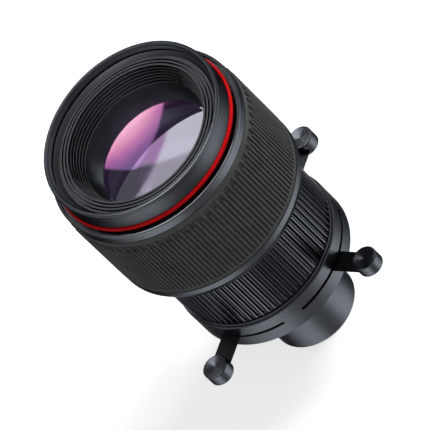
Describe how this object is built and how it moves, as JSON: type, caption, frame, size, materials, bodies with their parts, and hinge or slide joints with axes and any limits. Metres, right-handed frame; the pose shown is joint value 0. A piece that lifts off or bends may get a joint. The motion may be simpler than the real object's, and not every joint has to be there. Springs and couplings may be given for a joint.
{
  "type": "projection spot lens",
  "caption": "Beam shaping projection lens: rear spigot, framing shutters on levers, ribbed zoom ring, rubber focus ring, red accent ring and threaded front.",
  "frame": {"origin": "centre of the rear face of the spigot, on the optical axis", "axes": "+Z along the optical axis towards the front opening, +X along the first shutter lever"},
  "size_m": [0.117, 0.117, 0.1466],
  "materials": {
    "black_anodised": "black anodised, satin",
    "rubber": "matte moulded rubber",
    "red_ring": "gloss red",
    "coated_glass": "polished, coated",
    "blackened_brass": "blackened",
    "blackened_steel": "blackened"
  },
  "bodies": {
    "housing": {"rear_tube": "black_anodised", "field_lens": "coated_glass", "field_lens_ring": "black_anodised", "shutter_housing": "black_anodised", "rear_gate_plate": "black_anodised", "front_gate_plate": "black_anodised", "gate_posts": "blackened_brass", "gate_screws": "blackened_steel", "main_barrel": "black_anodised", "divider_ring": "black_anodised", "retaining_ring": "black_anodised", "guide_keys": "blackened_brass"},
    "zoom_ring_body": {"zoom_ring": "black_anodised", "cam_sleeve": "blackened_brass"},
    "zoom_cell_body": {"zoom_cell": "black_anodised", "follower_pins": "blackened_steel", "zoom_lens": "coated_glass", "zoom_lens_ring": "black_anodised"},
    "focus_ring_body": {"focus_ring": "black_anodised", "rubber_grip": "rubber"},
    "front_barrel_body": {"front_barrel": "black_anodised", "lens_cell": "black_anodised", "red_ring": "red_ring", "baffle_ring": "black_anodised", "front_lens": "coated_glass", "inner_lens": "coated_glass", "inner_lens_ring": "black_anodised"},
    "shoe_1": {"shutter_shoe_1": "blackened_brass"},
    "blade_1": {"shutter_blade_1": "blackened_steel", "shutter_knob_1": "black_anodised", "knob_screw_1": "blackened_steel"},
    "shoe_2": {"shutter_shoe_2": "blackened_brass"},
    "blade_2": {"shutter_blade_2": "blackened_steel", "shutter_knob_2": "black_anodised", "knob_screw_2": "blackened_steel"},
    "shoe_3": {"shutter_shoe_3": "blackened_brass"},
    "blade_3": {"shutter_blade_3": "blackened_steel", "shutter_knob_3": "black_anodised", "knob_screw_3": "blackened_steel"},
    "shoe_4": {"shutter_shoe_4": "blackened_brass"},
    "blade_4": {"shutter_blade_4": "blackened_steel", "shutter_knob_4": "black_anodised", "knob_screw_4": "blackened_steel"}
  },
  "joints": [
    {"name": "shutter_1_swing", "type": "hinge", "parent": "housing", "child": "shoe_1", "pos_m": [0, 0, 0.0427], "axis": [0, 0, 1], "range_deg": [-30, 30]},
    {"name": "shutter_1_slide", "type": "slide", "parent": "shoe_1", "child": "blade_1", "axis": [-1, 0, 0], "range_m": [0, 0.01]},
    {"name": "shutter_2_swing", "type": "hinge", "parent": "housing", "child": "shoe_2", "pos_m": [0, 0, 0.0427], "axis": [0, 0, 1], "range_deg": [-30, 30]},
    {"name": "shutter_2_slide", "type": "slide", "parent": "shoe_2", "child": "blade_2", "axis": [0, -1, 0], "range_m": [0, 0.01]},
    {"name": "shutter_3_swing", "type": "hinge", "parent": "housing", "child": "shoe_3", "pos_m": [0, 0, 0.0427], "axis": [0, 0, 1], "range_deg": [-30, 30]},
    {"name": "shutter_3_slide", "type": "slide", "parent": "shoe_3", "child": "blade_3", "axis": [1, 0, 0], "range_m": [0, 0.01]},
    {"name": "shutter_4_swing", "type": "hinge", "parent": "housing", "child": "shoe_4", "pos_m": [0, 0, 0.0427], "axis": [0, 0, 1], "range_deg": [-30, 30]},
    {"name": "shutter_4_slide", "type": "slide", "parent": "shoe_4", "child": "blade_4", "axis": [0, 1, 0], "range_m": [0, 0.01]},
    {"name": "zoom_turn", "type": "hinge", "parent": "housing", "child": "zoom_ring_body", "pos_m": [0, 0, 0.068], "axis": [0, 0, 1], "range_deg": [0, 60]},
    {"name": "zoom_shift", "type": "slide", "parent": "housing", "child": "zoom_cell_body", "axis": [0, 0, 1], "range_m": [0, 0.0141]},
    {"name": "focus_turn", "type": "hinge", "parent": "housing", "child": "focus_ring_body", "pos_m": [0, 0, 0.11], "axis": [0, 0, 1], "range_deg": [0, 150]},
    {"name": "front_shift", "type": "slide", "parent": "housing", "child": "front_barrel_body", "axis": [0, 0, 1], "range_m": [0, 0.0061]}
  ],
  "couplings": [
    {"joint": "zoom_shift", "follows": "zoom_turn", "m_per_rad": 0.013369},
    {"joint": "front_shift", "follows": "focus_turn", "m_per_rad": 0.002292}
  ]
}
